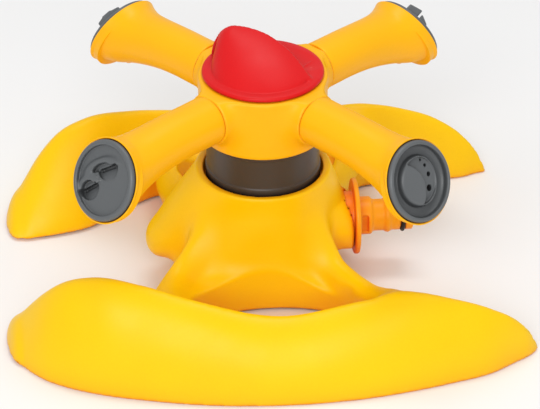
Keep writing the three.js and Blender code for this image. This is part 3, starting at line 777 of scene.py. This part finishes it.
def inlet_field(x, y, z):
    """The plate, its stout step with a window on each side, the neck, the ridge and the groove."""
    across = np.hypot(y, z - INLET_Z)

    def ring(radius, low, high, blend=0.5):
        return common(across - radius, slab(x, low, high), blend)

    sleeve = union(ring(7.0, INLET_LOW[0], FLANGE_X), ring(12.4, INLET_LOW[0] + 7.5, FLANGE_X), 0.3)
    plate = ring(FLANGE_RADIUS, FLANGE_X, FLANGE_X + PLATE_THICKNESS, 0.9)
    tab = common(np.abs(y) - 2.6, slab(z, INLET_Z - FLANGE_RADIUS - 0.2, INLET_Z), 0.8)
    tab = common(tab, slab(x, FLANGE_X + 0.2, FLANGE_X + 2.6), 0.6)
    step = ring(STEP_RADIUS, FLANGE_X, FLANGE_X + STEP_LENGTH, 0.8)
    neck = ring(NECK_RADIUS, FLANGE_X, NIPPLE_END, 1.2)
    off_ridge = np.abs(x - RIDGE_X)
    ridge = common(across - RIDGE_RADIUS + off_ridge * 0.35, off_ridge - 1.6, 0.6)
    body = union(union(sleeve, plate, 0.5), union(step, neck, 2.0), 0.8)
    body = union(union(body, ridge, 0.6), tab, 0.4)
    windows = common(slab(x, FLANGE_X + 3.9, FLANGE_X + 7.1), np.abs(z - INLET_Z) - 4.4, 0.8)
    windows = common(windows, STEP_RADIUS - 2 - np.abs(y), 0.5)
    groove = np.maximum(slab(x, ORING_LOW[0] - 0.3, ORING_HIGH[0] + 0.3), GROOVE_RADIUS - across)
    body = without(without(body, windows, 0.4), groove, 0.4)
    return without(body, across - INLET_BORE, 0.5)


def hose_inlet(material):
    shape = skin(inlet_field, INLET_LOW, INLET_HIGH, 0.6)
    return add_mesh("hose_inlet_skin", shape, material, "root", ["hose_inlet"])


def inlet_o_ring(material):
    middle = (ORING_LOW[0] + ORING_HIGH[0]) / 2
    section = (ORING_HIGH[0] - ORING_LOW[0]) / 2
    ring = (ORING_HIGH[1] - ORING_LOW[1]) / 2 - section
    sides = 14
    angles = np.arange(sides) * 2 * math.pi / sides
    profile = [[ring + section * math.cos(a), middle + section * math.sin(a)] for a in angles]
    points, faces = lathe(profile, 64)
    return add_mesh("inlet_o_ring_skin", (along_x(points, INLET_Z), faces), material, "root",
                    ["inlet_o_ring"])


def collar_screw(index, material):
    """A pan-head screw with a cross recess, under the tower's deck."""
    node = f"collar_screw_{index}"
    low, high = span(node)
    centre = (low + high) / 2
    head = low[2]

    def field(x, y, z):
        u, v, w = x - centre[0], y - centre[1], z - head
        across = np.hypot(u, v)
        dome = common(across - 3.2 + np.maximum(1.0 - w, 0) ** 2 * 0.5, slab(w, 0, 2.0), 0.4)
        shank = common(across - 1.4, slab(w, 0, high[2] - head), 0.3)
        cross = np.minimum(np.maximum(np.abs(u) - 0.4, np.abs(v) - 1.7),
                           np.maximum(np.abs(v) - 0.4, np.abs(u) - 1.7))
        return without(union(dome, shank, 0.3), np.maximum(cross, w - 1.3), 0.2)

    shape = skin(field, low, high, 0.3)
    return add_mesh(f"{node}_skin", shape, material, "root", [node])


# ---- Rotor ----


HUB_MIDDLE = 13.0  # the radius inside the skirt's groove, and of the water chamber
CHAMBER_LOW, CHAMBER_HIGH = 88, 105.5
SOCKET_RADIUS = 8.3
CHANNEL_RADIUS = 5.0
STEM_HOLE = 4.4


def hub_field(x, y, z):
    """The drum with four filleted stubs, hollow underneath, and the water's ways inside it."""
    drum = common(rod(x, y, HUB_RADIUS), slab(z, HUB_BOTTOM, HUB_TOP), 1.6)
    stubs = np.full(np.shape(x), 1e3)
    for degrees in ARM_TURNS.values():
        out, side = leaning(x, y, degrees)
        stub = rod(side, z - ARM_Z, ARM_RADIUS + 0.5)
        stubs = np.minimum(stubs, common(stub, slab(out, 12.0, SOCKET_END), 0.7))
    body = union(drum, stubs, 7.0)
    body = common(body, z - HUB_TOP, 0.8)
    body = common(body, HUB_BOTTOM - z, 0.6)
    bore = rod(x, y, SPINDLE_CLEARANCE)
    skirt = common(slab(np.hypot(x, y), HUB_MIDDLE, HUB_RADIUS - 4), z - HUB_BOTTOM - 3, 0.5)
    body = without(without(body, np.maximum(bore, z - CHAMBER_LOW), 0.4), skirt, 0.4)
    chamber = np.maximum(rod(x, y, HUB_MIDDLE), slab(z, CHAMBER_LOW, CHAMBER_HIGH))
    body = without(body, chamber, 0.3)
    for degrees in ARM_TURNS.values():
        out, side = leaning(x, y, degrees)
        socket = np.maximum(rod(side, z - ARM_Z, SOCKET_RADIUS), SOCKET_END - 10 - out)
        channel = np.maximum(rod(side, z - ARM_Z, CHANNEL_RADIUS), 12.0 - out)
        body = without(body, np.minimum(socket, channel), 0.3)
    return without(body, np.maximum(rod(x, y, STEM_HOLE), 100 - z), 0.3)


def rotor_hub(material):
    reach = SOCKET_END + 1
    shape = skin(hub_field, (-reach, -reach, HUB_BOTTOM), (reach, reach, HUB_TOP), 0.95)
    return add_mesh("rotor_hub_skin", shape, material, "rotor", ["rotor_hub"])


# An arm's outline: the station's number, then its reach from the rotor's axis, the height of its
# middle, its radius, and how many degrees it leans back.
ARM = curve_through(
    [
        [0, 36, 99.8, 11.8, 0],
        [1, 45, 99.8, 11.7, 0],
        [2, 55, 99.8, 11.7, 0],
        [3, 66, 99.2, 12.0, 2],
        [4, 76, 98, 12.8, 6],
        [5, 84, 96.7, 14.1, 11],
        [6, 90.5, 95.5, 16.0, 16],
        [7, 95.5, 95.3, 17.7, 21.7],
        [8, 100.1, 94.8, 19.85, 25],
    ]
)


ARM_SIDES = 96
PLUG_LENGTH = 8
SPIGOT_GAP = 0.3


def arm(name, degrees, material):
    """A tube that flares to a cup, as a loft of rings from its plug out and back into the cup."""

    def ring(reach, height, radius, lean):
        angles = np.arange(ARM_SIDES) * 2 * math.pi / ARM_SIDES
        up = radius * np.sin(angles)
        return np.stack([reach - up * math.sin(lean), radius * np.cos(angles),
                         height + up * math.cos(lean)], 1)

    def in_cup(radius, depth):
        return ring(NOZZLE_REACH - depth * math.cos(NOZZLE_TILT),
                    NOZZLE_Z - depth * math.sin(NOZZLE_TILT), radius, NOZZLE_TILT)

    plug = SOCKET_END - PLUG_LENGTH
    rings = [ring(plug, ARM_Z, radius, 0) for radius in (0.01, 4.0, 7.4, 7.9)]
    rings += [ring(plug + 0.6, ARM_Z, 8, 0), ring(SOCKET_END + 0.3, ARM_Z, 8, 0)]
    rings += [ring(SOCKET_END + 0.3, ARM_Z, ARM_RADIUS - 0.5, 0)]
    rings += [ring(SOCKET_END + 0.45, ARM_Z, ARM_RADIUS - 0.12, 0)]
    for step in np.linspace(0.05, 8, 44):
        reach, height, radius, lean = (float(v) for v in ARM(np.array(step)))
        rings.append(ring(reach, height, radius, math.radians(lean)))
    rings += [in_cup(CUP_RADIUS - 0.05, 0.3), in_cup(CUP_RADIUS - 0.3, 0.1)]
    rings += [in_cup(CUP_RADIUS - 0.6, 0.05), in_cup(CAP_RADIUS + 0.35, 0.3)]
    rings += [in_cup(CAP_RADIUS + 0.3, 1.0), in_cup(CAP_RADIUS + 0.3, CAP_THICKNESS - 0.2)]
    rings += [in_cup(CAP_RADIUS, CAP_THICKNESS), in_cup(SPIGOT_RADIUS + 0.8, CAP_THICKNESS)]
    rings += [in_cup(SPIGOT_RADIUS + SPIGOT_GAP, CAP_THICKNESS + 0.4)]
    back = CAP_THICKNESS + SPIGOT_LENGTH + 1.4
    rings += [in_cup(SPIGOT_RADIUS + SPIGOT_GAP, back), in_cup(0.01, back)]
    points = turned(np.concatenate(rings), degrees)
    faces = ring_faces(len(rings), ARM_SIDES, closed=False)
    return add_mesh(f"arm_{name}_skin", (points, faces), material, "rotor", [f"arm_{name}"],
                    sharp=50)


# ---- Nozzle caps: u is to the right and v is up on the face, w comes out of it ----

CAP_RIM = 2.2
CAP_RIM_WIDTH = 2.6
CAP_FACE = 0.9  # the middle of a dished face lies this far in
SPIGOT_WALL = 2.5
SLOT_HALF_WIDTH = 0.75


def dished(u, v):
    """The height of a face that is deepest in the middle."""
    return -CAP_FACE + 0.004 * (u * u + v * v)


def cap_blank(u, v, w, dish):
    """A round cap with a bevelled rim, its face at the height dish, and a hollow spigot."""
    across = np.hypot(u, v)
    rim = common(across - CAP_RADIUS, slab(w, 0.3 - CAP_THICKNESS, CAP_RIM), 0.9)
    rim = common(rim, across + (w - CAP_RIM) * 1.1 - CAP_RADIUS + 1.0, 0.6)
    rim = without(rim, np.maximum(across - CAP_RADIUS + CAP_RIM_WIDTH, dish - w), 1.0)
    low = 0.3 - CAP_THICKNESS - SPIGOT_LENGTH
    spigot = common(across - SPIGOT_RADIUS, slab(w, low, 0.5 - CAP_THICKNESS), 0.5)
    return union(rim, spigot, 0.5)


def spigot_bore(u, v, w, roof=-2.3):
    """The water passage up the spigot, which ends at the height roof."""
    return np.maximum(np.hypot(u, v) - SPIGOT_RADIUS + SPIGOT_WALL, w - roof)


# The fan cap's slots: place, lean in degrees and half length, then how far the scoop below it
# and the arch over it are shifted along it, their half width and how far they reach from it.
FAN_SLOTS = (
    ((-2.5, 4.8), 37, 4.2, (1.5, 6.3, 6.0), (-1.8, 8.2, 4.0)),
    ((-9.2, -7.4), 45, 4.0, (1.0, 5.6, 6.0), (0.8, 5.6, 4.2)),
)


def fan_cap(u, v, w):
    """Two slanted slots, each with a scoop below it and an arched ridge over it."""
    body = cap_blank(u, v, w, dished(u, v))
    for place, lean, half, scoop, arch in FAN_SLOTS:
        along, up = leaning(u - place[0], v - place[1], lean)
        shift, wide, rise = arch
        curve = (np.hypot((along - shift) / wide, up / rise) - 1) * rise
        ridge = common(np.hypot(curve, w + CAP_FACE) - 1.8, -up - 0.5, 0.8)
        body = union(body, ridge, 0.8)
        recess = common(common(curve + 1.2, -up, 0.5), -2.0 - w, 0.5)
        shift, wide, rise = scoop
        curve = (np.hypot((along - shift) / wide, up / rise) - 1) * rise
        floor = -CAP_FACE - 2.4 * (1 + up / rise)
        dip = common(common(curve, up - 0.5, 0.4), floor - w, 0.4)
        body = without(without(body, dip, 0.5), recess, 0.5)
        blade = np.maximum(np.abs(along) - half, np.abs(up) - SLOT_HALF_WIDTH)
        body = without(body, np.maximum(blade, -4.2 - w), 0.25)
    return without(body, spigot_bore(u, v, w, -4.6), 0.3)


JET_HOLES = ((5.8, 8.3, 0.6), (7.6, 5.0, 0.8), (8.2, 0.4, 1.1), (6.2, -5.6, 1.5))


def jet_cap(u, v, w):
    """A deep ring, a raised barrel, and a sunken crescent in it with a row of growing holes."""
    body = cap_blank(u, v, w, -0.5)
    ring = common(np.hypot(u, v) - 15.8, -2.1 - w, 1.6)
    body = without(body, ring, 2.2)
    across = np.hypot(u - 0.6, v)
    top = 1.9 - 0.012 * (u + 2) ** 2 - 0.004 * v * v
    barrel = common(across - 12.0 + 0.22 * (w + 2.1), np.maximum(w - top, -3.4 - w), 1.3)
    crescent = common(across - 10.8, 12.4 - np.hypot(u + 10.2, v + 1.5), 0.8)
    crescent = common(crescent, -1.2 - w, 0.5)
    body = union(body, without(barrel, crescent, 0.6), 0.6)
    for at_u, at_v, radius in JET_HOLES:
        jet = np.maximum(np.hypot(u - at_u, v - at_v) - radius, -4.4 - w)
        body = without(body, jet, 0.25)
    return without(body, spigot_bore(u, v, w), 0.3)


def cap_block(out, side, w, half, height, slope):
    """A block near the rim with leaning sides, whose top falls by slope along side."""
    sides = common(np.abs(side) - half, np.abs(out - 12.4) - 3.2 + 0.2 * np.maximum(w, 0), 0.7)
    return common(sides, np.maximum(w - height + slope * side, -2.5 - w), 0.7)


# Blocks on the two rear caps: middle along the rim, half width, height, slope of the top, and
# for the wedges the radius of the jet behind each.
STEPS_TURN = 51
STEPS = ((-4.6, 2.0, 5.3, -0.25), (-0.4, 2.5, 6.1, 0.05), (4.2, 2.3, 4.9, 0.3))
WEDGES_TURN = 129
WEDGES = ((-3.9, 3.4, 7.0, -0.28, 1.5), (3.2, 2.6, 4.9, 0.55, 1.0))


def step_cap(u, v, w):
    """Three blocks near the rim, the middle one tallest, with a slot behind them."""
    body = cap_blank(u, v, w, dished(u, v))
    out, side = leaning(u, v, STEPS_TURN)
    for middle, half, height, slope in STEPS:
        body = union(body, cap_block(out, side - middle, w, half, height, slope), 0.7)
    blade = np.maximum(np.abs(side) - 5.6, np.abs(out - 6.6) - 0.7)
    body = without(body, np.maximum(blade, -6.0 - w), 0.25)
    return without(body, spigot_bore(u, v, w), 0.3)


def wedge_cap(u, v, w):
    """A large and a small wedge near the rim, each with a round jet behind it."""
    body = cap_blank(u, v, w, dished(u, v))
    out, side = leaning(u, v, WEDGES_TURN)
    for middle, half, height, slope, bore in WEDGES:
        body = union(body, cap_block(out, side - middle, w, half, height, slope), 0.7)
        jet = np.maximum(np.hypot(side - middle, out - 6.4) - bore, -6.0 - w)
        body = without(body, jet, 0.25)
    return without(body, spigot_bore(u, v, w), 0.3)


TALLEST_BLOCK = 8.5
CAPS = {"back_right": wedge_cap, "back_left": step_cap, "front_left": fan_cap, "front_right": jet_cap}


def nozzle_cap(name, degrees, material):
    """A cap made facing up, then leant back by NOZZLE_TILT and turned to its arm."""
    low = (-CAP_RADIUS, -CAP_RADIUS, -CAP_THICKNESS - SPIGOT_LENGTH)
    high = (CAP_RADIUS, CAP_RADIUS, TALLEST_BLOCK)
    points, faces = skin(CAPS[name], low, high, 0.5)
    c, s = math.cos(NOZZLE_TILT), math.sin(NOZZLE_TILT)
    reach = NOZZLE_REACH + points[:, 2] * c - points[:, 1] * s
    height = NOZZLE_Z + points[:, 2] * s + points[:, 1] * c
    placed = turned(np.stack([reach, points[:, 0], height], 1), degrees)
    return add_mesh(f"nozzle_cap_{name}_skin", (placed, faces), material, f"nozzle_{name}",
                    [f"nozzle_cap_{name}"])


# ---- Selector ----

KNOB_FACE = 2.4
GRIP_HEIGHT = KNOB_HIGH[2] - KNOB_FOOT - KNOB_FACE - 0.3
GRIP_TURN = -38.0
GRIP_FLOOR = 24.5  # radius of the circle that the grip's slope runs down to
GRIP_START, GRIP_LENGTH = -17, 43
GRIP_BACK_END = 10.5
GRIP_WALL = 3.0
SCOOP_DEPTH = 0.9
DIAL_EDGE_START, DIAL_EDGE_WIDTH, DIAL_EDGE_DROP = 25.5, 3.5, 0.5
POINTER_HEIGHT = 0.5
DIAL_HOLE = 4.3
DIAL_HOLE_DEPTH = 3.5


def knob_top(x, y):
    """Height of the dial's face: a broad grip that rises to a crest, a scoop behind its steep
    wall, a raised pointer and a rounded edge."""
    along, out = leaning(x, y, GRIP_TURN)
    crest = 7.0 - 0.01 * (along - 3) ** 2
    fall = np.clip((along - GRIP_START) / GRIP_LENGTH, 0, 1)
    height = GRIP_HEIGHT * (1 - fall**2)
    back_end = np.clip((GRIP_START - along) / GRIP_BACK_END, 0, 1)
    height = height * np.sqrt(np.maximum(1 - back_end**2, 0))
    edge = np.sqrt(np.maximum(GRIP_FLOOR**2 - along**2, 0))
    depth = np.maximum(crest + edge, 1.0)
    front = np.clip((crest - out) / depth, 0, 1)
    slope = np.maximum(1 - front**1.75, 0) ** 0.85
    wall = np.clip((out - crest) / GRIP_WALL, 0, 1)
    wall = 1 - wall * wall * (3 - 2 * wall)
    grip = height * np.where(out < crest, slope, wall)
    across = np.hypot(x, y)
    scoop = np.clip(1 - ((along - 6) / 17) ** 2 - ((out - 15) / 9) ** 2, 0, 1)
    rim = np.clip((across - DIAL_EDGE_START) / DIAL_EDGE_WIDTH, 0, 1)
    pointer = np.clip(1 - ((along - 15.5) / 0.8) ** 2, 0, 1)
    pointer = pointer * np.clip(1 - ((out - 14) / 5.0) ** 2, 0, 1)
    face = KNOB_FOOT + KNOB_FACE + grip - SCOOP_DEPTH * scoop
    return face - DIAL_EDGE_DROP * rim**2 + POINTER_HEIGHT * pointer


def knob_field(x, y, z):
    """The dial under its face, with a hole below for the stem."""
    reach = 0.2
    slope_x = (knob_top(x + reach, y) - knob_top(x - reach, y)) / (2 * reach)
    slope_y = (knob_top(x, y + reach) - knob_top(x, y - reach)) / (2 * reach)
    top = (z - knob_top(x, y)) / np.sqrt(1 + slope_x**2 + slope_y**2)
    across = np.hypot(x, y)
    body = common(common(across - KNOB_RADIUS, top, 1.0), KNOB_FOOT - z, 0.5)
    stem_hole = np.maximum(across - DIAL_HOLE, z - KNOB_FOOT - DIAL_HOLE_DEPTH)
    return without(body, stem_hole, 0.3)


def selector_knob(material):
    shape = skin(knob_field, KNOB_LOW, KNOB_HIGH, 0.65)
    return add_mesh("selector_knob_skin", shape, material, "selector", ["selector_knob"])


# ---- Inner pieces that keep their CAD shape ----


def finish_inner_nodes(materials):
    """Each CAD node gets the material of its slot, which shows on those that nothing replaces."""
    slots = {row["node"]: row["material_slot"] for row in frame["record"]["subparts"]}
    for name, piece in frame["nodes"].items():
        piece.data.materials.clear()
        piece.data.materials.append(materials[slots[name]])


# ---- Floor, light and camera ----


def floor_material():
    """Matt white board, very faintly cloudy."""
    nodes = Nodes("pale_floor")
    stops = [(0.3, (0.86, 0.86, 0.86, 1)), (0.7, (0.9, 0.9, 0.9, 1))]
    nodes.link(nodes.ramp(nodes.noise(3.0), stops), nodes.shader.inputs["Base Color"])
    nodes.shader.inputs["Roughness"].default_value = 0.9
    nodes.shader.inputs["Specular IOR Level"].default_value = 0.1
    return nodes.material


WORLD_STRENGTH = 0.6
FLOOR_REACH = 6.0


def studio():
    """A wide pale floor in even white light."""
    mesh = bpy.data.meshes.new("floor")
    size = FLOOR_REACH
    corners = [(-size, -size, 0), (size, -size, 0), (size, size, 0), (-size, size, 0)]
    mesh.from_pydata(corners, [], [(0, 1, 2, 3)])
    mesh.materials.append(floor_material())
    floor = bpy.data.objects.new("floor", mesh)
    bpy.context.scene.collection.objects.link(floor)
    world = bpy.data.worlds.new("studio")
    world.use_nodes = True
    world.node_tree.nodes["Background"].inputs["Color"].default_value = (1, 1, 1, 1)
    world.node_tree.nodes["Background"].inputs["Strength"].default_value = WORLD_STRENGTH
    bpy.context.scene.world = world
    bpy.context.scene.view_settings.view_transform = "Standard"


def softbox(name, place, aim, size, power):
    """A rectangular lamp that faces the point aim, with its size in metres and power in watts."""
    light = bpy.data.lights.new(name, "AREA")
    light.shape = "RECTANGLE"
    light.size, light.size_y = size
    light.energy = power
    lamp = bpy.data.objects.new(name, light)
    lamp.location = place
    lamp.rotation_mode = "QUATERNION"
    lamp.rotation_quaternion = (Vector(aim) - Vector(place)).to_track_quat("-Z", "Y")
    bpy.context.scene.collection.objects.link(lamp)


CAMERA_TURN = math.radians(-5)
CAMERA_RISE = math.radians(32.5)
CAMERA_DISTANCE = 1.27
CAMERA_AIM = Vector((0, 0, 0.037))
CAMERA_ASIDE = 0.0034
CAMERA_LENS = 173.3
SENSOR_WIDTH = 36


def camera():
    """The camera, in front of the sprinkler and above it, a little to the left."""
    data = bpy.data.cameras.new("camera")
    data.lens = CAMERA_LENS
    data.sensor_width = SENSOR_WIDTH
    data.clip_end = 50
    eye = bpy.data.objects.new("camera", data)
    level = math.cos(CAMERA_RISE)
    back_x = math.sin(CAMERA_TURN) * level
    back_y = -math.cos(CAMERA_TURN) * level
    back = Vector((back_x, back_y, math.sin(CAMERA_RISE)))
    right = Vector((math.cos(CAMERA_TURN), math.sin(CAMERA_TURN), 0))
    eye.location = CAMERA_AIM + right * CAMERA_ASIDE + back * CAMERA_DISTANCE
    eye.rotation_mode = "QUATERNION"
    eye.rotation_quaternion = (-back).to_track_quat("-Z", "Y")
    bpy.context.scene.collection.objects.link(eye)
    bpy.context.scene.camera = eye


# ---- The sprinkler ----

materials = make_materials()
finish_inner_nodes(materials)
base_shell(materials["base_yellow"])
bearing_collar(materials["collar_brown"])
water_elbow(materials["inner_grey"])
hose_inlet(materials["inlet_orange"])
inlet_o_ring(materials["black_rubber"])
for screw_number in (1, 2, 3):
    collar_screw(screw_number, materials["steel"])
rotor_hub(materials["rotor_yellow"])
for arm_name, arm_turn in ARM_TURNS.items():
    arm(arm_name, arm_turn, materials["rotor_yellow"])
    nozzle_cap(arm_name, arm_turn, materials["nozzle_grey"])
selector_knob(materials["knob_red"])

studio()
softbox("front", (-0.25, -1.25, 0.9), (0, 0, 0.05), (0.9, 0.7), 11)
softbox("top", (0.1, 0.3, 1.3), (0, 0, 0.05), (0.9, 0.25), 5)
camera()
